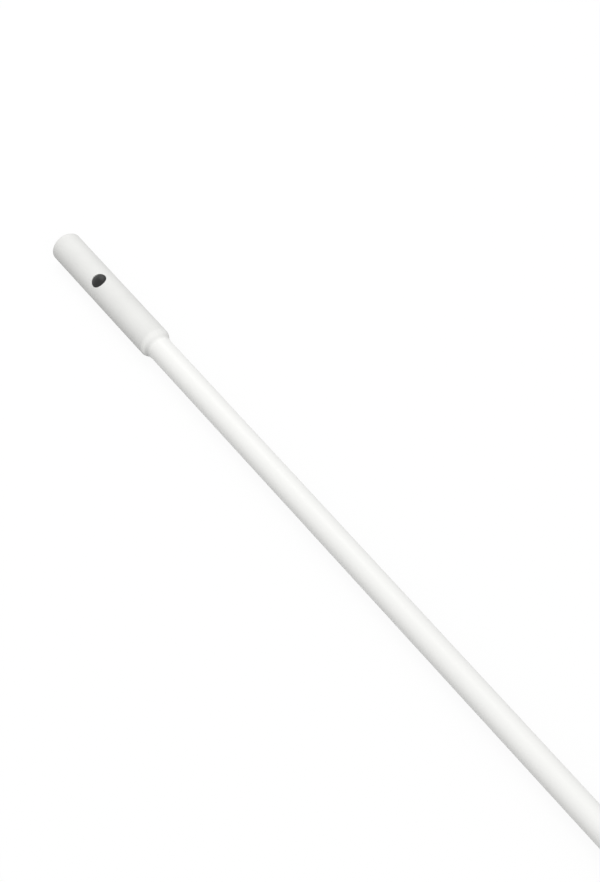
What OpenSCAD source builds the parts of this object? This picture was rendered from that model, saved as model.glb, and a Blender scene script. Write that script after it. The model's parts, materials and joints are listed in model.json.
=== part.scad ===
// Rigid white cane: a one-piece tube, a replaceable tip held by a sprung push button, and a rubber grip.
// The cane lies along X with its tip towards -X, and rests on the tip and the grip's flat side, at z = 0.

/* [Cane] */
// Whole length, from the tip's nose to the end of the grip
cane_length = 1200; // [900:10:1500]
// Outside diameter of the shaft tube
shaft_d = 12.7; // [12.3:0.1:13.2]
// Wall of the shaft tube
shaft_wall = 1.25; // [1:0.05:1.5]

/* [Tip] */
// Outside diameter of the tip
tip_d = 16.5; // [15.8:0.1:17.6]
// Length of the tip with its lip
tip_length = 95.5; // [84:0.5:124]
// Length of the solid nose below the shaft
tip_nose = 21; // [10:1:25]
// Rounding of the nose's edge
nose_edge = 0.8; // [0.3:0.1:3]
// Rounding of the shoulder at the tip's mouth
mouth_edge = 2.75; // [0.4:0.05:6]
// Length of the thin lip past the shoulder
lip_length = 4; // [2:0.5:6]
// Wall of the lip inside the shoulder
lip_wall = 0.7; // [0.4:0.05:0.9]
// Wall of the lip at its end
lip_edge = 0.12; // [0.1:0.01:0.2]

/* [Lock button] */
// Distance from the nose to the middle of the button
button_place = 40.1; // [36:0.1:50]
// Turn of the button from straight up, towards the front
button_turn = 25.5; // [0:0.5:60]
// Diameter of the button
button_d = 7.8; // [6:0.1:8]
// Height of the button's crown above the tip
button_rise = 0.65; // [0.3:0.05:1]
// Height of the dome on the button
dome_height = 1.3; // [0.6:0.1:1.6]
// Height of the flange's upper side above the shaft's middle
flange_top = 2.15; // [1.6:0.05:2.3]
// Thickness of the flange which keeps the button in the shaft
flange_thickness = 0.6; // [0.4:0.1:0.8]
// Depth of the pressed button's crown below the shaft's surface
release_depth = 0.25; // [0.1:0.05:0.5]

/* [Button spring] */
// Width of the spring strip
strip_width = 7; // [5:0.5:7.5]
// Thickness of the spring strip
strip_thickness = 0.5; // [0.3:0.05:0.6]
// Radius of the bend, at the middle of the strip
bend_r = 1.2; // [0.9:0.1:1.4]
// Distance from the button to the bend
bend_reach = 34; // [22:1:60]
// Length of both strip ends past the button's middle
strip_end = 6; // [5:0.5:9]
// Diameter of the rivet's shank
rivet_d = 2; // [1.5:0.1:2.5]
// Diameter of the rivet's head
rivet_head_d = 4; // [3.2:0.1:5]
// Depth of the rivet in the button
rivet_depth = 3.5; // [2:0.1:5]

/* [Grip] */
// Length of the grip without its cap
grip_length = 254; // [160:2:320]
// Diameter at the grip's mouth
grip_mouth_d = 18; // [17:0.5:22]
// Diameter at the grip's butt
grip_butt_d = 25; // [23:0.5:30]
// Length of the band round the mouth
band_length = 4.5; // [3:0.5:8]
// Height of the band above the mouth
band_step = 0.9; // [0.4:0.1:1.4]
// Length of the collar at the butt
collar_length = 9; // [6:0.5:14]
// Height of the collar above the butt
collar_step = 1.5; // [0.5:0.1:2.5]
// Number of ring grooves in each group
groove_count = 3; // [1:1:4]
// Distance between ring grooves
groove_pitch = 5; // [4:0.5:7]
// Radius of a ring groove
groove_r = 0.8; // [0.5:0.1:1]
// Distance from each end of the grip to its first groove
groove_margin = 14; // [14:1:24]
// Thickness of the tape under the grip
tape_thickness = 0.25; // [0.15:0.05:0.4]
// Distance from the grip's mouth to the tape
tape_margin = 6; // [2:1:20]

/* [Grip end] */
// Thickness of the cap
cap_thickness = 8; // [6:0.5:12]
// Rounding of the cap's edge
cap_edge = 3; // [1:0.5:4]
// Diameter of the loop hole
loop_hole_d = 6; // [4:0.5:6.5]
// Radius of the bell at the loop hole's mouth
loop_hole_edge = 1; // [0.5:0.1:2]
// Length of the plug inside the shaft
plug_length = 26; // [20:1:40]
// Thickness of the plug's rim
plug_rim = 2; // [1:0.5:3]
// Diameter of the cross pin
pin_d = 3; // [2:0.5:4]
// Distance from the shaft's upper end to the pin
pin_place = 16; // [10:1:17]

/* [Fits] */
// Clearance all round between nested pieces
fit = 0.05; // [0.03:0.01:0.08]
// Clearance all round the button in its guide holes
button_fit = 0.1; // [0.05:0.01:0.1]
// Room between the loop hole in the cap and the wider hole in the plug, all round
loop_room = 0.5; // [0.2:0.1:0.8]

/* [Hidden] */
$fn = 96;
past = 1; // how far a cut runs past the face it opens
nose_x = -cane_length / 2;
axis_z = tip_d / 2;
shaft_r = shaft_d / 2;
shaft_bore_r = shaft_r - shaft_wall;
tip_bore_r = shaft_r + fit;
// The shoulder's rounding ends inside the lip, so a large one is cut off before it turns square
shoulder_end = tip_length - lip_length;
shoulder_drop = min(mouth_edge, axis_z - tip_bore_r - fit);
shoulder_run = sqrt(pow(mouth_edge, 2) - pow(mouth_edge - shoulder_drop, 2));
cap_start = cane_length - cap_thickness;
grip_start = cap_start - grip_length;
shaft_end = cap_start;

// Heights of the button and its spring, measured out from the shaft's middle
button_r = button_d / 2;
guide_r = button_r + button_fit;
crown = axis_z + button_rise;
dome_r = (button_r * button_r + dome_height * dome_height) / (2 * dome_height);
flange_r = sqrt(shaft_bore_r * shaft_bore_r - flange_top * flange_top) - button_fit;
flange_base = flange_top - flange_thickness;
pad_middle = flange_base - strip_thickness / 2;
rest_middle = fit - sqrt(shaft_bore_r * shaft_bore_r - strip_width * strip_width / 4) + strip_thickness / 2;
bend_middle = rest_middle + bend_r;
button_travel = crown - shaft_r + release_depth;
// The rivet's head stops the pressed button on the resting leg of the strip
rivet_base = rest_middle + strip_thickness / 2 + fit + button_travel;

// Slope of the sprung leg: it leaves the bend as a tangent and ends at the edge of the pad under the button
leg_run = bend_reach - strip_end;
leg_rise = pad_middle - bend_middle;
leg_span = sqrt(leg_run * leg_run + leg_rise * leg_rise);
leg_slope = acos(bend_r / leg_span) - atan2(leg_run, leg_rise);
bend_end = 90 - leg_slope;
bend_steps = 16;

// Middle line of the bent strip: X along the cane from the button, Y out from the shaft's middle, and the
// direction that the strip's outer side faces
strip_route = [
    [-strip_end, rest_middle, -90],
    for (i = [0 : bend_steps])
        let (a = -90 + (bend_end + 90) * i / bend_steps)
        [bend_reach + bend_r * cos(a), bend_middle + bend_r * sin(a), a],
    [strip_end, pad_middle, 90 - leg_slope / 2],
    [-strip_end, pad_middle, 90]
];

// Radii of the grip
grip_mouth_r = grip_mouth_d / 2;
grip_butt_r = grip_butt_d / 2;
band_r = grip_mouth_r + band_step;
collar_r = grip_butt_r + collar_step;
tape_bore_r = shaft_r + fit;
tape_r = tape_bore_r + tape_thickness;
grip_bore_r = tape_r + fit;
plug_hole_r = loop_hole_d / 2 + loop_room;
// The edges of the cross pin's ends stay below the shaft's surface, clear of the tape
pin_reach = sqrt(shaft_r * shaft_r - pin_d * pin_d / 4) - fit;

// Radius of the grip's taper at a distance from its mouth
function grip_r(place) = grip_mouth_r + (grip_butt_r - grip_mouth_r) * place / grip_length;

// Puts a turned piece on the cane's axis, with its own Z along the cane, from a distance past the nose
module on_axis(place) {
    translate([nose_x + place, 0, axis_z]) rotate([0, 90, 0]) children();
}

// Puts a piece at the button: X along the cane, Z out through the button, from the shaft's middle
module at_button() {
    translate([nose_x + button_place, 0, axis_z]) rotate([button_turn, 0, 0]) children();
}

// What a rounding takes off a corner that points along +X and -Y, with the rounding's centre at the origin
module corner_waste(r) {
    difference() {
        translate([0, -2 * r]) square(2 * r);
        circle(r);
    }
}

// Half section of a turned rod, rounded at its start
module rod_section(r, length, edge) {
    difference() {
        square([r, length]);
        translate([r - edge, edge]) corner_waste(edge);
    }
}

// Round hole for the button through the wall on its own side
module button_guide() {
    at_button() cylinder(r = guide_r, h = crown + past);
}

// Everything below the surface the cane lies on, along the grip
module below_flat() {
    depth = collar_r;
    length = cane_length - grip_start + 2 * past;
    translate([nose_x + grip_start - past, -2 * collar_r, -depth]) cube([length, 4 * collar_r, depth]);
}

// Half section of the tip's outside: rounded nose and shoulder, and a lip that thins out on the shaft
module tip_section() {
    lip_start = shoulder_end - mouth_edge;
    difference() {
        rod_section(axis_z, shoulder_end, nose_edge);
        translate([axis_z - mouth_edge, shoulder_end - shoulder_run]) mirror([0, 1]) corner_waste(mouth_edge);
    }
    polygon([
        [0, lip_start],
        [tip_bore_r + lip_wall, lip_start],
        [tip_bore_r + lip_edge, tip_length],
        [0, tip_length]
    ]);
}

module tip() {
    color("white") difference() {
        on_axis(0) rotate_extrude() tip_section();
        on_axis(tip_nose) cylinder(r = tip_bore_r, h = tip_length);
        button_guide();
    }
}

module shaft() {
    color("snow") difference() {
        on_axis(tip_nose) cylinder(r = shaft_r, h = shaft_end - tip_nose);
        on_axis(tip_nose - past) cylinder(r = shaft_bore_r, h = cane_length);
        button_guide();
        plug_pin_hole();
    }
}

// Domed button with a flange inside the shaft and a blind hole for its rivet
module lock_button() {
    color([0.12, 0.12, 0.12]) at_button() difference() {
        union() {
            translate([0, 0, flange_base]) cylinder(r = flange_r, h = flange_thickness);
            intersection() {
                translate([0, 0, flange_base]) cylinder(r = button_r, h = crown - flange_base);
                translate([0, 0, crown - dome_r]) sphere(r = dome_r);
            }
            translate([0, 0, flange_base]) cylinder(r = button_r, h = crown - dome_height - flange_base);
        }
        rivet_hole(flange_base - past, rivet_depth + fit + past);
    }
}

// One side of the strip, at a distance out from its middle line
function strip_side(out) = [for (p = strip_route) [p[0] + out * cos(p[2]), p[1] + out * sin(p[2])]];

// A list from its last item to its first
function backwards(list) = [for (i = [len(list) - 1 : -1 : 0]) list[i]];

module strip_section() {
    half = strip_thickness / 2;
    polygon(concat(strip_side(half), backwards(strip_side(-half))));
}

// Hole for the rivet's shank, from a height above the shaft's middle
module rivet_hole(base, depth) {
    translate([0, 0, base]) cylinder(d = rivet_d + 2 * fit, h = depth);
}

module button_spring() {
    color("lightsteelblue") at_button() difference() {
        rotate([90, 0, 0]) linear_extrude(strip_width, center = true) strip_section();
        rivet_hole(pad_middle - strip_thickness, 2 * strip_thickness);
    }
}

module button_rivet() {
    head_top = flange_base - strip_thickness;
    color("silver") at_button() translate([0, 0, rivet_base]) {
        cylinder(d = rivet_head_d, h = head_top - rivet_base);
        cylinder(d = rivet_d, h = flange_base + rivet_depth - rivet_base);
    }
}

// Half section of the grip from its mouth: band, taper, collar and two groups of ring grooves
module grip_section() {
    difference() {
        union() {
            polygon([
                [grip_bore_r, 0],
                [grip_mouth_r, 0],
                [band_r, band_step],
                [band_r, band_length - band_step],
                [grip_r(band_length), band_length],
                [grip_butt_r, grip_length],
                [grip_bore_r, grip_length]
            ]);
            translate([grip_bore_r, grip_length - collar_length]) {
                rod_section(collar_r - grip_bore_r, collar_length, collar_step);
            }
        }
        for (i = [0 : groove_count - 1]) {
            front = groove_margin + i * groove_pitch;
            back = grip_length - front;
            translate([grip_r(front), front]) circle(groove_r);
            translate([grip_r(back), back]) circle(groove_r);
        }
    }
}

module grip() {
    color([0.1, 0.1, 0.1]) difference() {
        on_axis(grip_start) rotate_extrude() grip_section();
        below_flat();
    }
}

module grip_tape() {
    color("wheat") difference() {
        on_axis(grip_start + tape_margin) cylinder(r = tape_r, h = grip_length - tape_margin);
        on_axis(grip_start) cylinder(r = tape_bore_r, h = grip_length + past);
    }
}

// Half section of the cap from the grip's butt: recess for the plug's rim, and a bell-mouthed loop hole
module cap_section() {
    hole_r = loop_hole_d / 2;
    difference() {
        translate([0, cap_thickness]) mirror([0, 1]) rod_section(collar_r, cap_thickness, cap_edge);
        square([shaft_r + fit, plug_rim + fit]);
        square([hole_r, cap_thickness]);
        translate([hole_r + loop_hole_edge, cap_thickness - loop_hole_edge]) {
            rotate(180) corner_waste(loop_hole_edge);
        }
    }
}

module grip_cap() {
    color([0.13, 0.13, 0.13]) difference() {
        on_axis(cap_start) rotate_extrude() cap_section();
        below_flat();
    }
}

// Cross hole for the pin through the shaft and the plug
module plug_pin_hole() {
    on_axis(shaft_end - pin_place) rotate([90, 0, 0]) {
        cylinder(d = pin_d + 2 * fit, h = 2 * shaft_d, center = true);
    }
}

module handle_plug() {
    color("gainsboro") difference() {
        union() {
            on_axis(shaft_end - plug_length) cylinder(r = shaft_bore_r - fit, h = plug_length);
            on_axis(shaft_end) cylinder(r = shaft_r, h = plug_rim);
        }
        on_axis(shaft_end - plug_length - past) {
            cylinder(r = plug_hole_r, h = plug_length + plug_rim + 2 * past);
        }
        plug_pin_hole();
    }
}

module plug_pin() {
    color("silver") on_axis(shaft_end - pin_place) {
        rotate([90, 0, 0]) cylinder(d = pin_d, h = 2 * pin_reach, center = true);
    }
}

tip();
shaft();
lock_button();
button_spring();
button_rivet();
grip();
grip_tape();
grip_cap();
handle_plug();
plug_pin();
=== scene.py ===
"""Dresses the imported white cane: turned meshes, a finish for every piece, studio and camera."""
import json
import logging
import math
from collections.abc import Callable, Sequence
from dataclasses import dataclass
from enum import Enum
from functools import partial

import bmesh
import bpy
from mathutils import Euler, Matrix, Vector


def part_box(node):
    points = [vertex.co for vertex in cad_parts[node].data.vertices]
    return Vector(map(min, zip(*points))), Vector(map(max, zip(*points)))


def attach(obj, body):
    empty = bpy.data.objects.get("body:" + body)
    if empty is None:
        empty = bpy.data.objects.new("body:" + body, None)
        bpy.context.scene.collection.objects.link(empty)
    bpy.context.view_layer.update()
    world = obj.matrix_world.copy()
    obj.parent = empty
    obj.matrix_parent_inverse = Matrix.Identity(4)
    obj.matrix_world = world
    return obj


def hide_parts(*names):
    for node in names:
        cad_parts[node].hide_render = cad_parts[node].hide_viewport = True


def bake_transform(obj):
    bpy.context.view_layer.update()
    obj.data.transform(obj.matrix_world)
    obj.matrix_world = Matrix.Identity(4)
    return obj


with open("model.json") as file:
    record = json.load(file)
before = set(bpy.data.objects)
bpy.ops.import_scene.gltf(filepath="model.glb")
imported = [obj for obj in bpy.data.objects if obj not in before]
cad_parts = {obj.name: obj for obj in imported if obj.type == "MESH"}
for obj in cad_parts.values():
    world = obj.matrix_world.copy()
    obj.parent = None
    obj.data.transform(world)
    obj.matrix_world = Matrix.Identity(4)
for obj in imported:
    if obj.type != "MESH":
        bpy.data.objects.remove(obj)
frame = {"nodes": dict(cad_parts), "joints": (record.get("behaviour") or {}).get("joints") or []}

MM = 0.001

# Points closer together than this are merged
WELD = 0.001 * MM
# An edge between faces that turn by more than this is shaded sharp
SHARP = math.radians(38)
# A face with more corners than this is flat
CURVED_CORNERS = 4
# Rings of faces from a window's border to its cross hole, and steps in that hole's rounded edge
WINDOW_RINGS = 6
HOLE_EDGE_STEPS = 4
# Steps in the rounded edge of a flat side
FLAT_EDGE_STEPS = 3

# Most of a noise lies between these values
NOISE_LOW = 0.3
NOISE_HIGH = 0.7
# Angle that the wave texture goes through over a unit of length at a scale of one
WAVE_RATE = 20
WHITE = (1.0, 1.0, 1.0, 1.0)

Point = tuple[float, float]
Corner = tuple[float, float, float]
Outline = list[Point]
Colour = tuple[float, float, float]

log = logging.getLogger("white_cane")


class Body(Enum):
    """Groups of pieces that move together."""

    CANE = "cane"
    BUTTON = "button"


class Slot(Enum):
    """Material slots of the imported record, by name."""

    TIP = "tip_nylon"
    SHAFT = "shaft_coat"
    BUTTON = "button_black"
    STEEL = "spring_steel"
    GRIP = "grip_rubber"
    CAP = "cap_rubber"


# Node trees


class Nodes:
    """A material's node tree, written in short calls."""

    def __init__(self, name: str) -> None:
        """Starts a material with its shader and object coordinates.

        Args:
            name: the material's name.
        """
        self.material = bpy.data.materials.new(name)
        self.material.use_nodes = True
        self.tree = self.material.node_tree
        self.shader = self.tree.nodes["Principled BSDF"]
        self.coords = self.add("ShaderNodeTexCoord").outputs["Object"]

    def add(
        self, kind: str, sockets: dict[str, object] | None = None, **settings: object
    ) -> bpy.types.Node:
        """Adds a node.

        Args:
            kind: the node's type name.
            sockets: values or links for its inputs, by name.
            **settings: values for its own properties.

        Returns:
            The new node.
        """
        node = self.tree.nodes.new(kind)
        for key, value in settings.items():
            setattr(node, key, value)
        for key, value in (sockets or {}).items():
            self.feed(node, key, value)
        return node

    def feed(self, node: bpy.types.Node, key: str, value: object) -> None:
        """Sets or links one input of a node.

        Args:
            node: the node.
            key: the input's name.
            value: a plain value, or the socket to link from.
        """
        if isinstance(value, bpy.types.NodeSocket):
            self.tree.links.new(value, node.inputs[key])
        else:
            node.inputs[key].default_value = value

    def shade(self, sockets: dict[str, object]) -> None:
        """Sets or links inputs of the shader, by name."""
        for key, value in sockets.items():
            self.feed(self.shader, key, value)

    def moved(self, offset: Vector, stretch: Vector) -> bpy.types.NodeSocket:
        """Moves and stretches the object's coordinates.

        Args:
            offset: place that becomes the pattern's middle.
            stretch: factor on each axis.

        Returns:
            The new coordinates.
        """
        sockets = {"Vector": self.coords, "Location": -offset * stretch, "Scale": stretch}
        return self.add("ShaderNodeMapping", sockets).outputs["Vector"]

    def noise(
        self, scale: float, detail: float = 2.0, vector: bpy.types.NodeSocket | None = None
    ) -> bpy.types.NodeSocket:
        """Adds a noise pattern.

        Args:
            scale: waves per metre, roughly.
            detail: octaves of finer waves.
            vector: coordinates to read in place of the object's.

        Returns:
            The pattern's value.
        """
        sockets = {"Vector": vector or self.coords, "Scale": scale, "Detail": detail}
        return self.add("ShaderNodeTexNoise", sockets).outputs["Fac"]

    def spread(self, value: bpy.types.NodeSocket, low: float, high: float) -> bpy.types.NodeSocket:
        """Spreads the middle of a noise over a range.

        Args:
            value: the noise.
            low: result where the noise is low.
            high: result where it is high.

        Returns:
            The value in that range.
        """
        sockets = {
            "Value": value, "From Min": NOISE_LOW, "From Max": NOISE_HIGH, "To Min": low, "To Max": high,
        }
        return self.add("ShaderNodeMapRange", sockets).outputs["Result"]

    def tint(self, value: bpy.types.NodeSocket, low: Colour, high: Colour) -> bpy.types.NodeSocket:
        """Blends two colours by a noise.

        Args:
            value: the noise.
            low: colour where the noise is low.
            high: colour where it is high.

        Returns:
            The blended colour.
        """
        ramp = self.add("ShaderNodeValToRGB", {"Fac": value})
        for stop, place, colour in zip(ramp.color_ramp.elements, (NOISE_LOW, NOISE_HIGH), (low, high)):
            stop.position = place
            stop.color = (*colour, 1.0)
        return ramp.outputs["Color"]

    def mix(
        self, share: bpy.types.NodeSocket, first: bpy.types.NodeSocket, second: Colour
    ) -> bpy.types.NodeSocket:
        """Blends a pattern of colours into an even colour.

        Args:
            share: share of the even colour, from 0 to 1.
            first: the pattern.
            second: the even colour.

        Returns:
            The blended colour.
        """
        sockets = {"Factor": share, "A": first, "B": (*second, 1.0)}
        return self.add("ShaderNodeMix", sockets, data_type="RGBA").outputs["Result"]

    def bump(
        self, value: bpy.types.NodeSocket, height: float, under: bpy.types.NodeSocket | None = None
    ) -> bpy.types.NodeSocket:
        """Raises the surface by a pattern.

        Args:
            value: the pattern.
            height: height of the pattern in metres.
            under: normal of a coarser bump below this one.

        Returns:
            The surface's normal.
        """
        sockets = {"Height": value, "Distance": height, "Strength": 1.0}
        if under is not None:
            sockets["Normal"] = under
        return self.add("ShaderNodeBump", sockets).outputs["Normal"]


# Finishes


@dataclass(frozen=True)
class Finish:
    """A moulded surface: mottled colour and gloss, and a fine grain, in waves per metre."""

    name: str
    low: Colour
    high: Colour
    smooth: float
    rough: float
    mottle: float = 60.0
    mottle_detail: float = 3.0
    gloss_ratio: float = 4.0
    grain: float = 2500.0
    grain_height: float = 0.01 * MM
    shine: float = 0.5

    def material(self) -> bpy.types.Material:
        """Makes the material.

        Returns:
            The new material.
        """
        nodes = Nodes(self.name)
        self.paint(nodes)
        return nodes.material

    def paint(self, nodes: Nodes) -> None:
        """Lays the colour, the gloss and the grain.

        Args:
            nodes: the material's node tree.
        """
        nodes.shade({
            "Base Color": self.colour(nodes),
            "Roughness": nodes.spread(nodes.noise(self.mottle * self.gloss_ratio), self.smooth, self.rough),
            "Normal": self.relief(nodes),
            "Specular IOR Level": self.shine,
        })

    def colour(self, nodes: Nodes) -> bpy.types.NodeSocket:
        """Mottles the colour.

        Args:
            nodes: the material's node tree.

        Returns:
            The surface's colour.
        """
        return nodes.tint(nodes.noise(self.mottle, self.mottle_detail), self.low, self.high)

    def relief(self, nodes: Nodes) -> bpy.types.NodeSocket:
        """Raises the fine grain.

        Args:
            nodes: the material's node tree.

        Returns:
            The surface's normal.
        """
        return nodes.bump(nodes.noise(self.grain), self.grain_height)


@dataclass(frozen=True)
class TurnedFinish(Finish):
    """Nylon turned on a lathe: fine rings round the axis, and a thin lip that the shaft shows through."""

    axis: Vector = Vector((0, 0, 0))
    pitch: float = 0.4 * MM
    ring_height: float = 0.004 * MM
    wander: float = 1.5
    wander_detail: float = 2.0
    lip_end: float = 0.0
    lip_length: float = 2.2 * MM
    under: Colour = (0.895, 0.895, 0.877)

    def colour(self, nodes: Nodes) -> bpy.types.NodeSocket:
        """Blends the mottled colour into the shaft's along the thin lip.

        Args:
            nodes: the material's node tree.

        Returns:
            The surface's colour.
        """
        place = nodes.add("ShaderNodeSeparateXYZ", {"Vector": nodes.coords}).outputs["X"]
        sockets = {"Value": place, "From Min": self.lip_end - self.lip_length, "From Max": self.lip_end}
        share = nodes.add("ShaderNodeMapRange", sockets).outputs["Result"]
        return nodes.mix(share, super().colour(nodes), self.under)

    def relief(self, nodes: Nodes) -> bpy.types.NodeSocket:
        """Raises the turning rings over the grain.

        Args:
            nodes: the material's node tree.

        Returns:
            The surface's normal.
        """
        normal = super().relief(nodes)
        centred = nodes.moved(self.axis, Vector((1, 1, 1)))
        sockets = {
            "Vector": centred,
            "Scale": math.tau / (WAVE_RATE * self.pitch),
            "Distortion": self.wander,
            "Detail": self.wander_detail,
        }
        for kind, direction in (("BANDS", {"bands_direction": "X"}), ("RINGS", {"rings_direction": "X"})):
            wave = nodes.add("ShaderNodeTexWave", sockets, wave_type=kind, **direction)
            normal = nodes.bump(wave.outputs["Fac"], self.ring_height, normal)
        return normal


@dataclass(frozen=True)
class CoatFinish(Finish):
    """Glossy white coat over the tube, with a faint orange peel."""

    peel: float = 320.0
    peel_detail: float = 1.0
    peel_height: float = 0.01 * MM
    coat: float = 0.1
    coat_roughness: float = 0.25

    def paint(self, nodes: Nodes) -> None:
        """Lays the paint and its clear coat.

        Args:
            nodes: the material's node tree.
        """
        super().paint(nodes)
        nodes.shade({"Coat Weight": self.coat, "Coat Roughness": self.coat_roughness})

    def relief(self, nodes: Nodes) -> bpy.types.NodeSocket:
        """Raises the orange peel.

        Args:
            nodes: the material's node tree.

        Returns:
            The surface's normal.
        """
        return nodes.bump(nodes.noise(self.peel, self.peel_detail), self.peel_height)


@dataclass(frozen=True)
class BrushedFinish(Finish):
    """Steel with fine scratches along the cane."""

    scratch: Vector = Vector((40, 1500, 1500))
    scratch_detail: float = 3.0
    scratch_height: float = 0.004 * MM

    def paint(self, nodes: Nodes) -> None:
        """Lays the metal and its scratches.

        Args:
            nodes: the material's node tree.
        """
        super().paint(nodes)
        nodes.shade({"Metallic": 1.0})

    def relief(self, nodes: Nodes) -> bpy.types.NodeSocket:
        """Raises the scratches.

        Args:
            nodes: the material's node tree.

        Returns:
            The surface's normal.
        """
        drawn = nodes.moved(Vector((0, 0, 0)), self.scratch)
        return nodes.bump(nodes.noise(1.0, self.scratch_detail, drawn), self.scratch_height)


# Outlines and turned meshes


@dataclass(frozen=True)
class Axis:
    """A line that an outline is turned about, with the direction in which the outline is drawn."""

    origin: Vector
    along: Vector
    start: Vector

    def point(self, place: float, radius: float) -> Vector:
        """The point of an outline in space."""
        return self.origin + self.along * place + self.start * radius


def arc(centre: Point, radius: float, first: float, last: float, steps: int) -> Outline:
    """Draws an arc of an outline.

    Args:
        centre: place and radius of the arc's middle.
        radius: the arc's own radius.
        first: its first angle in degrees, from the axis' direction outwards.
        last: its last angle.
        steps: number of chords.

    Returns:
        The arc's points.
    """
    angles = [math.radians(first + (last - first) * i / steps) for i in range(steps + 1)]
    return [(centre[0] + radius * math.cos(angle), centre[1] + radius * math.sin(angle)) for angle in angles]


def soften(corners: Sequence[Corner], steps: int = 5) -> Outline:
    """Rounds the corners of an outline, apart from its two ends.

    Args:
        corners: place, radius and rounding of each corner.
        steps: number of chords in each rounding.

    Returns:
        The rounded outline.
    """
    outline = [corners[0][:2]]
    for before, corner, after in zip(corners, corners[1:], corners[2:]):
        here = Vector(corner[:2])
        if corner[2] == 0:
            outline.append(corner[:2])
            continue
        back = (Vector(before[:2]) - here).normalized()
        onward = (Vector(after[:2]) - here).normalized()
        half = back.angle(onward) / 2
        reach = corner[2] / math.tan(half)
        centre = here + (back + onward).normalized() * corner[2] / math.sin(half)
        first = here + back * reach - centre
        last = here + onward * reach - centre
        spokes = [first.slerp(last, i / steps) for i in range(steps + 1)]
        outline += [tuple(centre + spoke.normalized() * corner[2]) for spoke in spokes]
    return outline + [corners[-1][:2]]


def bands(first: float, last: float, count: int) -> list[float]:
    """Places that share a stretch into equal bands.

    Args:
        first: start of the stretch.
        last: end of the stretch.
        count: number of bands.

    Returns:
        The places, both ends among them.
    """
    return [first + (last - first) * i / count for i in range(count + 1)]


def turn(axis: Axis, outline: Outline, steps: int, ring: bool = False) -> bmesh.types.BMesh:
    """Turns an outline round an axis into a closed mesh.

    Args:
        axis: the axis.
        outline: its points, from axis to axis, or a closed ring.
        steps: number of steps in the full turn.
        ring: whether the last point joins the first.

    Returns:
        The mesh.
    """
    bm = bmesh.new()
    verts = [bm.verts.new(axis.point(place, radius)) for place, radius in outline]
    edges = [bm.edges.new(pair) for pair in zip(verts, verts[1:])]
    if ring:
        edges.append(bm.edges.new((verts[-1], verts[0])))
    bmesh.ops.spin(
        bm, geom=verts + edges, cent=axis.origin, axis=axis.along,
        angle=math.tau, steps=steps, use_merge=True,
    )
    bmesh.ops.remove_doubles(bm, verts=bm.verts[:], dist=WELD)
    bmesh.ops.recalc_face_normals(bm, faces=bm.faces[:])
    return bm


@dataclass(frozen=True)
class Hole:
    """Round cross hole through a tube's wall, and the window of faces that it is cut into."""

    middle: Vector
    along: Vector
    out: Vector
    radius: float
    edge: float
    reach: float
    spread: float

    @property
    def aside(self) -> Vector:
        """Direction across the tube and the hole."""
        return self.out.cross(self.along)

    def local(self, point: Vector) -> Vector:
        """A point's place along the tube, aside, and out through the hole."""
        off = point - self.middle
        return Vector((off.dot(self.along), off.dot(self.aside), off.dot(self.out)))

    def covers(self, point: Vector) -> bool:
        """Whether a point lies in the window."""
        place = self.local(point)
        return abs(place.x) < self.reach and abs(math.atan2(place.y, place.z)) < self.spread

    def rim(self, point: Vector, wall: float, radius: float, depth: float) -> Vector:
        """Finds the point of a ring round the hole that faces a given point.

        Args:
            point: the point that it faces.
            wall: radius of the tube's wall.
            radius: radius of the ring.
            depth: depth of the ring below the wall.

        Returns:
            The point on the ring.
        """
        flat = self.local(point).xy.normalized() * radius
        out = math.sqrt(wall * wall - flat.y * flat.y) - depth
        return self.middle + self.along * flat.x + self.aside * flat.y + self.out * out

    def nearer(self, point: Vector, wall: float, edge: float, share: float) -> Vector:
        """Slides a point on the wall towards the hole's edge.

        Args:
            point: the point.
            wall: radius of the tube's wall.
            edge: rounding of the hole's edge on this wall.
            share: share of the way to go.

        Returns:
            The point's new place.
        """
        far = self.local(point).xy.length
        return self.rim(point, wall, far + (self.radius + edge - far) * share, 0.0)


def grow_ring(
    bm: bmesh.types.BMesh, ring: list[bmesh.types.BMEdge], move: Callable[[Vector], Vector]
) -> list[bmesh.types.BMEdge]:
    """Grows a ring of faces from a ring of open edges.

    Args:
        bm: the mesh.
        ring: the open edges.
        move: gives each new vertex its place, from its old one.

    Returns:
        The new open edges.
    """
    grown = bmesh.ops.extrude_edge_only(bm, edges=ring)["geom"]
    verts = {item for item in grown if isinstance(item, bmesh.types.BMVert)}
    for vert in verts:
        vert.co = move(vert.co)
    return [edge for edge in bm.edges if verts.issuperset(edge.verts)]


def drill(bm: bmesh.types.BMesh, hole: Hole, outer: float, bore: float) -> None:
    """Cuts a round cross hole through a turned tube's wall.

    Args:
        bm: the tube's mesh.
        hole: the hole.
        outer: outer radius of the tube.
        bore: inner radius of the tube.
    """
    window = [face for face in bm.faces if hole.covers(face.calc_center_median())]
    bmesh.ops.delete(bm, geom=window, context="FACES")
    border = [edge for edge in bm.edges if edge.is_boundary]
    rims = []
    for wall, rounding in ((outer, hole.edge), (bore, 0.0)):
        ring = [edge for edge in border if abs(hole.local(edge.verts[0].co).yz.length - wall) < WELD]
        for left in range(WINDOW_RINGS, 0, -1):
            ring = grow_ring(bm, ring, partial(hole.nearer, wall=wall, edge=rounding, share=1 / left))
        if rounding:
            for angle in bands(0, math.pi / 2, HOLE_EDGE_STEPS)[1:]:
                radius = hole.radius + rounding * (1 - math.sin(angle))
                depth = rounding * (1 - math.cos(angle))
                ring = grow_ring(bm, ring, partial(hole.rim, wall=wall, radius=radius, depth=depth))
        rims += ring
    bmesh.ops.bridge_loops(bm, edges=rims)
    bmesh.ops.recalc_face_normals(bm, faces=bm.faces[:])


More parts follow.
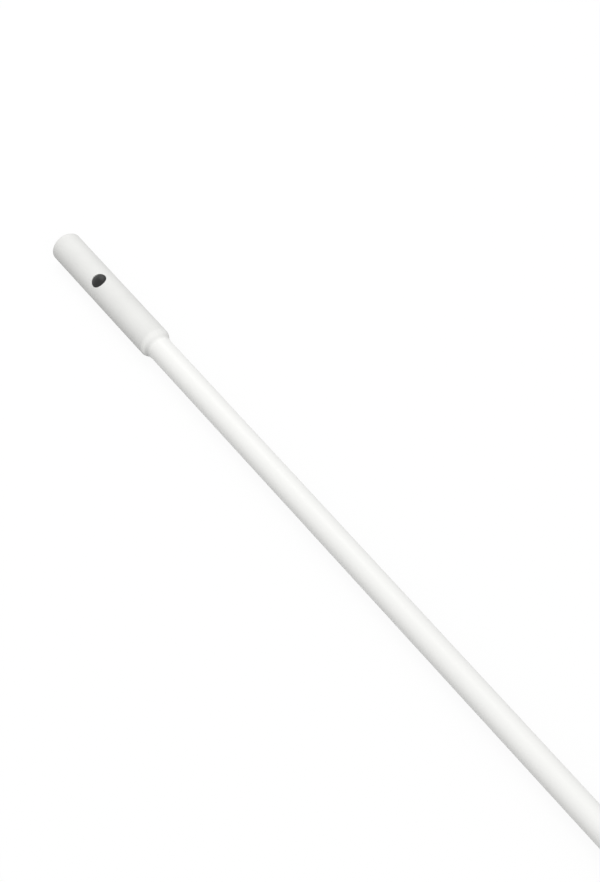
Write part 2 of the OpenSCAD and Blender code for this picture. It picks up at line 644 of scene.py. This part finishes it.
def cut_flat(bm: bmesh.types.BMesh, edge: float) -> None:
    """Cuts a turned mesh flat at the surface that the cane lies on, with a soft edge.

    Args:
        bm: the mesh.
        edge: rounding of the flat's edge.
    """
    cut = bmesh.ops.bisect_plane(
        bm, geom=bm.verts[:] + bm.edges[:] + bm.faces[:], dist=WELD,
        plane_co=(0, 0, 0), plane_no=(0, 0, -1), clear_outer=True,
    )
    rim = [item for item in cut["geom_cut"] if isinstance(item, bmesh.types.BMEdge)]
    bmesh.ops.edgeloop_fill(bm, edges=rim)
    bmesh.ops.recalc_face_normals(bm, faces=bm.faces[:])
    bmesh.ops.bevel(
        bm, geom=rim, offset=edge, offset_type="OFFSET", affect="EDGES",
        segments=FLAT_EDGE_STEPS, profile=0.5, material=-1, clamp_overlap=True,
    )


def place_piece(
    name: str, bm: bmesh.types.BMesh, material: bpy.types.Material, node: str
) -> bpy.types.Object:
    """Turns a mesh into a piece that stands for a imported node.

    Args:
        name: the piece's name.
        bm: its mesh, which is used up.
        material: its finish.
        node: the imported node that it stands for.

    Returns:
        The new object, which doesn't move with a body yet.
    """
    for face in bm.faces:
        face.smooth = len(face.verts) <= CURVED_CORNERS
    for edge in bm.edges:
        edge.smooth = edge.calc_face_angle(0.0) < SHARP
    mesh = bpy.data.meshes.new(name)
    bm.to_mesh(mesh)
    bm.free()
    mesh.materials.append(material)
    piece = bpy.data.objects.new(name, mesh)
    bpy.context.scene.collection.objects.link(piece)
    even = piece.modifiers.new("even_shading", "WEIGHTED_NORMAL")
    even.keep_sharp = True
    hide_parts(node)
    log.info("%s: %d faces, stands for %s", name, len(mesh.polygons), node)
    return piece


# Sub-assemblies


@dataclass(frozen=True)
class CaneLine:
    """Places along the cane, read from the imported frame, in metres."""

    nose: float
    mouth: float
    foot: float
    grip: float
    butt: float
    end: float
    pin: float
    height: float
    button: float
    out: Vector

    @classmethod
    def read(cls) -> "CaneLine":
        """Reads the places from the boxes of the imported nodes.

        Returns:
            The cane's places.
        """
        boxes = {node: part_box(node) for node in frame["nodes"]}
        press = next(joint for joint in frame["joints"] if joint["name"] == "button_press")
        return cls(
            nose=boxes["tip"][0].x,
            mouth=boxes["tip"][1].x,
            foot=boxes["shaft"][0].x,
            grip=boxes["grip"][0].x,
            butt=boxes["grip"][1].x,
            end=boxes["grip_cap"][1].x,
            pin=sum(boxes["plug_pin"], Vector()).x / 2,
            height=sum(boxes["tip"], Vector()).z / 2,
            button=sum(boxes["lock_button"], Vector()).x / 2,
            out=-Vector(press["axis"]).normalized(),
        )

    def axis(self, place: float) -> Axis:
        """The cane's own axis from a place on it, with outlines drawn on the button's side."""
        return Axis(Vector((place, 0, self.height)), Vector((1, 0, 0)), self.out)

    def hole(
        self, place: float, out: Vector, radius: float, edge: float, reach: float, spread: float
    ) -> Hole:
        """A cross hole at a place on the cane's axis."""
        return Hole(Vector((place, 0, self.height)), Vector((1, 0, 0)), out, radius, edge, reach, spread)


@dataclass
class SubAssembly:
    """What every sub-assembly is built from: the cane's places and its own finish."""

    line: CaneLine
    material: bpy.types.Material


@dataclass
class Tip(SubAssembly):
    """Slip-on tip: solid nose, bore for the shaft, rounded shoulder, thin lip and the button's hole."""

    radius: float = 8.25 * MM
    bore: float = 6.4 * MM
    nose: float = 21 * MM
    nose_edge: float = 0.8 * MM
    nose_steps: int = 6
    shoulder: float = 2.75 * MM
    shoulder_run: float = 2.58 * MM
    shoulder_steps: int = 12
    hollow: float = 2.5 * MM
    hollow_steps: int = 10
    lip_length: float = 4 * MM
    lip_wall: float = 0.7 * MM
    lip_edge: float = 0.02 * MM
    seat: float = 6.36 * MM
    seat_length: float = 1 * MM
    guide: float = 4.0 * MM
    guide_edge: float = 0.25 * MM
    window: float = 6 * MM
    window_angle: float = math.radians(48)
    window_bands: int = 16
    steps: int = 128

    def mouth(self, length: float) -> Outline:
        """Draws the shoulder, the hollow below it and the lip that thins out on the shaft.

        Args:
            length: length of the tip.

        Returns:
            The outline, from the tip's side to the lip's end.
        """
        end = length - self.lip_length
        ball = Vector((end - self.shoulder_run, self.radius - self.shoulder))
        start = Vector((end - self.shoulder, self.bore + self.lip_wall))
        stop = Vector((length, self.bore + self.lip_edge))
        along = (stop - start).normalized()
        out = Vector((-along.y, along.x))
        away = start + out * self.hollow - ball
        lean = away.dot(along)
        slide = math.sqrt(lean ** 2 - away.length_squared + (self.shoulder + self.hollow) ** 2) - lean
        centre = ball + away + along * slide
        turned = math.degrees(math.atan2(centre.y - ball.y, centre.x - ball.x))
        last = 270 - math.degrees(math.atan2(out.x, out.y))
        rounding = arc(tuple(ball), self.shoulder, 90, turned, self.shoulder_steps)
        hollow = arc(tuple(centre), self.hollow, 180 + turned, last, self.hollow_steps)
        return rounding + hollow[1:] + [tuple(stop)]

    def outline(self) -> Outline:
        """Draws the outline, from the nose to the mouth and back through the bore.

        Returns:
            The outline, with places measured from the nose.
        """
        length = self.line.mouth - self.line.nose
        button = self.line.button - self.line.nose
        window = bands(button - self.window, button + self.window, self.window_bands)
        rounding = (self.nose_edge, self.radius - self.nose_edge)
        outside = arc(rounding, self.nose_edge, 180, 90, self.nose_steps)
        outside += [(place, self.radius) for place in window]
        outside += self.mouth(length)
        inside = [(length, self.seat), (length - self.seat_length, self.seat)]
        inside += [(length - self.seat_length, self.bore)]
        inside += [(place, self.bore) for place in reversed(window)]
        return [(0, 0)] + outside + inside + [(self.nose, self.bore), (self.nose, 0)]

    def build(self) -> bpy.types.Object:
        """Builds the tip with its guide hole.

        Returns:
            The finished piece.
        """
        bm = turn(self.line.axis(self.line.nose), self.outline(), self.steps)
        hole = self.line.hole(
            self.line.button, self.line.out, self.guide, self.guide_edge, self.window, self.window_angle
        )
        drill(bm, hole, self.radius, self.bore)
        piece = place_piece("tip_sleeve", bm, self.material, "tip")
        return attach(piece, Body.CANE.value)


@dataclass
class Shaft(SubAssembly):
    """Long coated tube, with the button's hole in its lower end and the pin's holes in its upper end."""

    radius: float = 6.35 * MM
    bore: float = 5.1 * MM
    end_edge: float = 0.2 * MM
    guide: float = 4.0 * MM
    guide_window: float = 6 * MM
    guide_angle: float = math.radians(66)
    pin_hole: float = 1.55 * MM
    pin_window: float = 3 * MM
    pin_angle: float = math.radians(28)
    hole_edge: float = 0.1 * MM
    window_bands: int = 12
    stretch: float = 50 * MM
    steps: int = 128

    def outline(self) -> Outline:
        """Draws the tube's wall as a closed ring.

        Returns:
            The outline, with places measured from the lower end.
        """
        length = self.line.butt - self.line.foot
        button = self.line.button - self.line.foot
        pin = self.line.pin - self.line.foot
        low = bands(button - self.guide_window, button + self.guide_window, self.window_bands)
        high = bands(pin - self.pin_window, pin + self.pin_window, self.window_bands)
        middle = bands(low[-1], high[0], round((high[0] - low[-1]) / self.stretch))[1:-1]
        places = low + middle + high
        edge = self.end_edge
        outside = [(0, self.radius - edge), (edge, self.radius)]
        outside += [(place, self.radius) for place in places]
        outside += [(length - edge, self.radius), (length, self.radius - edge)]
        inside = [(length, self.bore + edge), (length - edge, self.bore)]
        inside += [(place, self.bore) for place in reversed(places)]
        return outside + inside + [(edge, self.bore), (0, self.bore + edge)]

    def build(self) -> bpy.types.Object:
        """Builds the tube with its cross holes.

        Returns:
            The finished piece.
        """
        line = self.line
        bm = turn(line.axis(line.foot), self.outline(), self.steps, ring=True)
        holes = [
            line.hole(line.button, line.out, self.guide, self.hole_edge, self.guide_window, self.guide_angle)
        ]
        for side in (-1, 1):
            out = Vector((0, side, 0))
            holes.append(
                line.hole(line.pin, out, self.pin_hole, self.hole_edge, self.pin_window, self.pin_angle)
            )
        for hole in holes:
            drill(bm, hole, self.radius, self.bore)
        piece = place_piece("shaft_tube", bm, self.material, "shaft")
        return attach(piece, Body.CANE.value)


@dataclass
class LockButton(SubAssembly):
    """Domed button with a flange inside the shaft and a blind hole for its rivet."""

    radius: float = 3.9 * MM
    crown: float = 8.9 * MM
    dome: float = 6.5 * MM
    dome_steps: int = 20
    rim_edge: float = 0.45 * MM
    rim_steps: int = 8
    flange: float = 4.52 * MM
    flange_base: float = 1.55 * MM
    flange_top: float = 2.15 * MM
    flange_edge: float = 0.12 * MM
    rivet_hole: float = 1.05 * MM
    rivet_depth: float = 3.55 * MM
    steps: int = 96

    def outline(self) -> Outline:
        """Draws the outline from the rivet hole's end round the flange to the crown.

        Returns:
            The outline, with places measured out from the shaft's middle.
        """
        hole_end = self.flange_base + self.rivet_depth
        middle = self.crown - self.dome
        rim_radius = self.radius - self.rim_edge
        rim_out = math.sqrt((self.dome - self.rim_edge) ** 2 - rim_radius ** 2)
        slope = math.degrees(math.atan2(rim_radius, rim_out))
        foot = soften([
            (hole_end, 0, 0),
            (hole_end, self.rivet_hole, 0),
            (self.flange_base, self.rivet_hole, self.flange_edge),
            (self.flange_base, self.flange, self.flange_edge),
            (self.flange_top, self.flange, self.flange_edge),
            (self.flange_top, self.radius, self.flange_edge),
            (middle + rim_out, self.radius, 0),
        ])
        rim = arc((middle + rim_out, rim_radius), self.rim_edge, 90, slope, self.rim_steps)
        return foot[:-1] + rim + arc((middle, 0), self.dome, slope, 0, self.dome_steps)[1:]

    def build(self) -> bpy.types.Object:
        """Builds the button on its own axis.

        Returns:
            The finished piece.
        """
        origin = Vector((self.line.button, 0, self.line.height))
        axis = Axis(origin, self.line.out, Vector((1, 0, 0)))
        bm = turn(axis, self.outline(), self.steps)
        piece = place_piece("button_cap", bm, self.material, "lock_button")
        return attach(piece, Body.BUTTON.value)


@dataclass
class ButtonSpring(SubAssembly):
    """Bent strip inside the shaft, under the button."""

    leg_bands: int = 24
    still: float = -1.4 * MM
    carried: float = 1.0 * MM

    def build(self) -> bpy.types.Object:
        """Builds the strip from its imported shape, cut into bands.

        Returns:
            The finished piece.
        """
        low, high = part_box("button_spring")
        bm = bmesh.new()
        bm.from_mesh(frame["nodes"]["button_spring"].data)
        bmesh.ops.remove_doubles(bm, verts=bm.verts[:], dist=WELD)
        for place in bands(low.x, high.x, self.leg_bands)[1:-1]:
            bmesh.ops.bisect_plane(
                bm, geom=bm.verts[:] + bm.edges[:] + bm.faces[:], dist=WELD,
                plane_co=(place, 0, 0), plane_no=(1, 0, 0),
            )
        piece = place_piece("spring_strip", bm, self.material, "button_spring")
        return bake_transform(piece)


@dataclass
class Grip(SubAssembly):
    """Rubber grip: band, taper with ring grooves and rows of pockets, collar and one flat side."""

    bore: float = 6.7 * MM
    mouth: float = 9.0 * MM
    butt: float = 12.5 * MM
    band_length: float = 4.5 * MM
    band_step: float = 0.9 * MM
    collar_length: float = 9 * MM
    collar_step: float = 1.5 * MM
    groove_margin: float = 14 * MM
    groove_pitch: float = 5 * MM
    groove_count: int = 3
    groove_half: float = 1.1 * MM
    groove_depth: float = 0.8 * MM
    groove_soft: float = 0.6 * MM
    seam: float = 0.35 * MM
    soft: float = 0.3 * MM
    pocket_margin: float = 4 * MM
    pocket_pitch: float = 4.2 * MM
    pocket_depth: float = 0.35 * MM
    pocket_rib: float = 0.28 * MM
    pocket_slope: float = 0.14 * MM
    flat_edge: float = 0.4 * MM
    flat_room: float = 1.2 * MM
    steps: int = 64

    @property
    def length(self) -> float:
        """Length from the mouth to the butt."""
        return self.line.butt - self.line.grip

    def taper(self, place: float) -> float:
        """Radius of the plain taper at a distance from the mouth."""
        return self.mouth + (self.butt - self.mouth) * place / self.length

    def groove(self, place: float) -> list[Corner]:
        """Draws one ring groove.

        Args:
            place: distance of its middle from the mouth.

        Returns:
            The groove's corners.
        """
        half = self.groove_half
        return [
            (place - half, self.taper(place - half), self.soft),
            (place, self.taper(place) - self.groove_depth, self.groove_soft),
            (place + half, self.taper(place + half), self.soft),
        ]

    def pocket_places(self) -> list[float]:
        """Places of the rings between which the pockets lie."""
        reach = self.groove_margin + (self.groove_count - 1) * self.groove_pitch + self.pocket_margin
        return bands(reach, self.length - reach, round((self.length - 2 * reach) / self.pocket_pitch))

    def outline(self) -> Outline:
        """Draws the grip's wall as a closed ring that starts in the bore.

        Returns:
            The outline, with places measured from the mouth.
        """
        band = self.mouth + self.band_step
        collar = self.butt + self.collar_step
        front = [self.groove_margin + i * self.groove_pitch for i in range(self.groove_count)]
        back = [self.length - place for place in reversed(front)]
        corners = [
            (self.length / 2, self.bore, 0),
            (0, self.bore, self.soft),
            (0, self.mouth, self.soft),
            (self.band_step, band, self.soft),
            (self.band_length - self.band_step, band, self.soft),
            (self.band_length, self.taper(self.band_length), self.soft),
        ]
        for place in front:
            corners += self.groove(place)
        corners += [(place, self.taper(place), 0) for place in self.pocket_places()]
        for place in back:
            corners += self.groove(place)
        start = self.length - self.collar_length
        corners += [
            (start, self.taper(start), self.soft),
            (start, self.butt, 0),
            (start + self.collar_step, collar, self.collar_step),
            (self.length, collar, self.seam),
            (self.length, self.bore, self.soft),
        ]
        return soften(corners + [corners[0]])[:-1]

    def press_pockets(self, bm: bmesh.types.BMesh) -> None:
        """Presses staggered pockets into the taper, clear of the flat side.

        Args:
            bm: the grip's mesh.
        """
        places = self.pocket_places()
        pitch = places[1] - places[0]
        chosen = []
        for face in bm.faces:
            middle = face.calc_center_median()
            row = (middle.x - self.line.grip - places[0]) / pitch
            turned = math.atan2(middle.y, middle.z - self.line.height) / math.tau * self.steps
            outside = math.hypot(middle.y, middle.z - self.line.height) > (self.bore + self.mouth) / 2
            if not (outside and 0 < row < len(places) - 1 and middle.z > self.flat_room):
                continue
            if (math.floor(row) + math.floor(turned)) % 2 == 0:
                chosen.append(face)
        bmesh.ops.inset_individual(bm, faces=chosen, thickness=self.pocket_rib, depth=0)
        bmesh.ops.inset_individual(bm, faces=chosen, thickness=self.pocket_slope, depth=-self.pocket_depth)

    def build(self) -> bpy.types.Object:
        """Builds the grip.

        Returns:
            The finished piece.
        """
        bm = turn(self.line.axis(self.line.grip), self.outline(), self.steps, ring=True)
        self.press_pockets(bm)
        cut_flat(bm, self.flat_edge)
        piece = place_piece("grip_sleeve", bm, self.material, "grip")
        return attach(piece, Body.CANE.value)


@dataclass
class GripCap(SubAssembly):
    """Cap on the grip's end: recess for the plug, bell-mouthed loop hole, rounded edge and flat side."""

    radius: float = 14 * MM
    edge: float = 3 * MM
    edge_steps: int = 8
    seam: float = 0.35 * MM
    hole: float = 3 * MM
    hole_edge: float = 1 * MM
    recess: float = 6.4 * MM
    recess_depth: float = 2.05 * MM
    flat_edge: float = 0.4 * MM
    steps: int = 96

    def outline(self) -> Outline:
        """Draws the cap's section as a closed ring that starts in the loop hole.

        Returns:
            The outline, with places measured from the grip's butt.
        """
        depth = self.line.end - self.line.butt
        start = ((self.recess_depth + depth) / 2, self.hole, 0)
        corners = [
            start,
            (self.recess_depth, self.hole, 0),
            (self.recess_depth, self.recess, 0),
            (0, self.recess, 0),
            (0, self.radius, self.seam),
            (depth, self.radius, self.edge),
            (depth, self.hole, self.hole_edge),
            start,
        ]
        return soften(corners, self.edge_steps)[:-1]

    def build(self) -> bpy.types.Object:
        """Builds the cap.

        Returns:
            The finished piece.
        """
        bm = turn(self.line.axis(self.line.butt), self.outline(), self.steps, ring=True)
        cut_flat(bm, self.flat_edge)
        piece = place_piece("cap_end", bm, self.material, "grip_cap")
        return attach(piece, Body.CANE.value)


@dataclass
class InnerPieces:
    """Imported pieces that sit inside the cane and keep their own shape."""

    steel: bpy.types.Material
    tape: bpy.types.Material
    plug: bpy.types.Material

    def dress(self) -> None:
        """Gives each inner piece its finish."""
        finishes = {
            "button_rivet": self.steel,
            "plug_pin": self.steel,
            "grip_tape": self.tape,
            "handle_plug": self.plug,
        }
        for node, material in finishes.items():
            piece = frame["nodes"][node]
            piece.data.materials.clear()
            piece.data.materials.append(material)
            log.info("%s: keeps its packed shape, finish %s", node, material.name)


# Studio and camera


@dataclass(frozen=True)
class Softbox:
    """Rectangular soft light aimed at the cane."""

    name: str
    place: Vector
    width: float
    height: float
    power: float

    def hang(self, target: Vector) -> None:
        """Hangs the light.

        Args:
            target: the point that it is aimed at.
        """
        lamp = bpy.data.lights.new(self.name, "AREA")
        lamp.shape = "RECTANGLE"
        lamp.size = self.width
        lamp.size_y = self.height
        lamp.energy = self.power
        light = bpy.data.objects.new(self.name, lamp)
        light.location = self.place
        light.rotation_euler = (self.place - target).to_track_quat("Z", "Y").to_euler()
        light.visible_camera = False
        bpy.context.scene.collection.objects.link(light)


@dataclass
class Studio:
    """Pale floor, two soft lights and an even white surround."""

    target: Vector
    key: Softbox = Softbox(
        "key_light", place=Vector((-0.87, 0.1, 0.64)), width=0.32, height=0.66, power=1.0
    )
    side: Softbox = Softbox(
        "side_light", place=Vector((5.0, -1.5, 3.1)), width=5.4, height=5.4, power=212.0
    )
    floor_size: float = 16.0
    floor_drop: float = 0.2 * MM
    floor_white: float = 0.98
    floor_bounce: float = 0.27
    shadow_share: float = 0.08
    fill: float = 0.74

    def build(self) -> None:
        """Sets up the floor, the lights, the surround and the view transform."""
        bpy.context.scene.view_settings.view_transform = "Standard"
        self.lay_floor()
        for softbox in (self.key, self.side):
            softbox.hang(self.target)
        self.surround()

    @staticmethod
    def seen(nodes: bpy.types.Nodes, links: bpy.types.NodeLinks) -> bpy.types.NodeSocket:
        """Tells rays that show the background from rays that light the object.

        Args:
            nodes: nodes of the tree.
            links: links of the tree.

        Returns:
            1 for camera, glossy and transmission rays, 0 for the rest.
        """
        path = nodes.new("ShaderNodeLightPath")
        value = path.outputs["Is Camera Ray"]
        for name in ("Is Glossy Ray", "Is Transmission Ray"):
            larger = nodes.new("ShaderNodeMath")
            larger.operation = "MAXIMUM"
            links.new(value, larger.inputs[0])
            links.new(path.outputs[name], larger.inputs[1])
            value = larger.outputs[0]
        return value

    def lay_floor(self) -> None:
        """Lays the floor just below the cane."""
        bm = bmesh.new()
        bmesh.ops.create_grid(bm, x_segments=1, y_segments=1, size=self.floor_size / 2)
        bmesh.ops.translate(bm, verts=bm.verts[:], vec=(0, 0, -self.floor_drop))
        mesh = bpy.data.meshes.new("floor")
        bm.to_mesh(mesh)
        bm.free()
        mesh.materials.append(self.floor_material())
        floor = bpy.data.objects.new("floor", mesh)
        bpy.context.scene.collection.objects.link(floor)

    def floor_material(self) -> bpy.types.Material:
        """Makes the floor white with a faint shadow where it shows, and greyer as a source of bounced light.

        Returns:
            The new material.
        """
        material = bpy.data.materials.new("floor_white")
        material.use_nodes = True
        nodes, links = material.node_tree.nodes, material.node_tree.links
        nodes.remove(nodes["Principled BSDF"])
        glow = nodes.new("ShaderNodeEmission")
        glow.inputs["Color"].default_value = WHITE
        glow.inputs["Strength"].default_value = 1.0
        shades = []
        for level in (self.floor_white, self.floor_bounce):
            shade = nodes.new("ShaderNodeBsdfDiffuse")
            shade.inputs["Color"].default_value = (level, level, level, 1)
            shades.append(shade.outputs[0])
        look = nodes.new("ShaderNodeMixShader")
        look.inputs[0].default_value = self.shadow_share
        links.new(glow.outputs[0], look.inputs[1])
        links.new(shades[0], look.inputs[2])
        choice = nodes.new("ShaderNodeMixShader")
        links.new(self.seen(nodes, links), choice.inputs[0])
        links.new(shades[1], choice.inputs[1])
        links.new(look.outputs[0], choice.inputs[2])
        links.new(choice.outputs[0], nodes["Material Output"].inputs["Surface"])
        return material

    def surround(self) -> None:
        """Fills the surround: white where it shows, softer as a light."""
        world = bpy.data.worlds.new("surround")
        world.use_nodes = True
        nodes, links = world.node_tree.nodes, world.node_tree.links
        light = nodes["Background"]
        shown = nodes.new("ShaderNodeBackground")
        for background, strength in ((light, self.fill), (shown, 1.0)):
            background.inputs["Color"].default_value = WHITE
            background.inputs["Strength"].default_value = strength
        choice = nodes.new("ShaderNodeMixShader")
        links.new(self.seen(nodes, links), choice.inputs[0])
        links.new(light.outputs[0], choice.inputs[1])
        links.new(shown.outputs[0], choice.inputs[2])
        links.new(choice.outputs[0], nodes["World Output"].inputs["Surface"])
        bpy.context.scene.world = world


@dataclass
class PhotoCamera:
    """Camera at the photograph's viewing angle, looking down along the cane towards its tip."""

    line: CaneLine
    lens: float = 105.0
    from_nose: Vector = Vector((927.7, -463.1, 857.9)) * MM
    tilt: float = 45.874
    pan: float = 56.747

    def build(self) -> bpy.types.Object:
        """Sets up the scene's camera.

        Returns:
            The camera.
        """
        data = bpy.data.cameras.new("photo_camera")
        data.lens = self.lens
        camera = bpy.data.objects.new("photo_camera", data)
        camera.location = Vector((self.line.nose, 0, self.line.height)) + self.from_nose
        camera.rotation_euler = Euler((math.radians(self.tilt), 0, math.radians(self.pan)))
        bpy.context.scene.collection.objects.link(camera)
        bpy.context.scene.camera = camera
        return camera


def main() -> None:
    """Builds the pieces in order, dresses them and sets up the studio."""
    logging.basicConfig(level=logging.INFO, format="%(name)s: %(message)s")
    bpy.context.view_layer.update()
    line = CaneLine.read()
    nose_end = Vector((line.nose, 0, line.height))
    nylon = TurnedFinish(
        "nylon_white", low=(0.768, 0.768, 0.752), high=(0.798, 0.798, 0.781),
        smooth=0.5, rough=0.6, shine=0.25, axis=nose_end, lip_end=line.mouth,
    )
    coat = CoatFinish(
        "coat_white", low=(0.89, 0.89, 0.872), high=(0.9, 0.9, 0.882),
        smooth=0.3, rough=0.38, mottle=12, shine=0.25,
    )
    black = Finish(
        "button_black", low=(0.005, 0.0055, 0.005), high=(0.009, 0.0095, 0.009),
        smooth=0.3, rough=0.38, mottle=300, shine=0.4,
    )
    rubber = Finish(
        "grip_rubber", low=(0.022, 0.022, 0.022), high=(0.034, 0.034, 0.034),
        smooth=0.62, rough=0.75, mottle=40,
    )
    cap = Finish(
        "cap_rubber", low=(0.026, 0.026, 0.027), high=(0.038, 0.038, 0.039),
        smooth=0.5, rough=0.6, mottle=90,
    )
    brushed = BrushedFinish(
        "spring_steel", low=(0.52, 0.52, 0.54), high=(0.62, 0.62, 0.64), smooth=0.25, rough=0.4
    )
    tape = Finish(
        "tape", low=(0.62, 0.5, 0.32), high=(0.7, 0.58, 0.38),
        smooth=0.8, rough=0.9, mottle=200, grain=900,
    )
    plug = Finish(
        "plug_plastic", low=(0.52, 0.52, 0.52), high=(0.58, 0.58, 0.58), smooth=0.5, rough=0.6
    )
    steel = brushed.material()
    Tip(line, nylon.material()).build()
    Shaft(line, coat.material()).build()
    LockButton(line, black.material()).build()
    ButtonSpring(line, steel).build()
    Grip(line, rubber.material()).build()
    GripCap(line, cap.material()).build()
    InnerPieces(steel, tape.material(), plug.material()).dress()
    Studio(Vector((line.mouth, 0, line.height))).build()
    PhotoCamera(line).build()


if __name__ == "__main__":
    main()
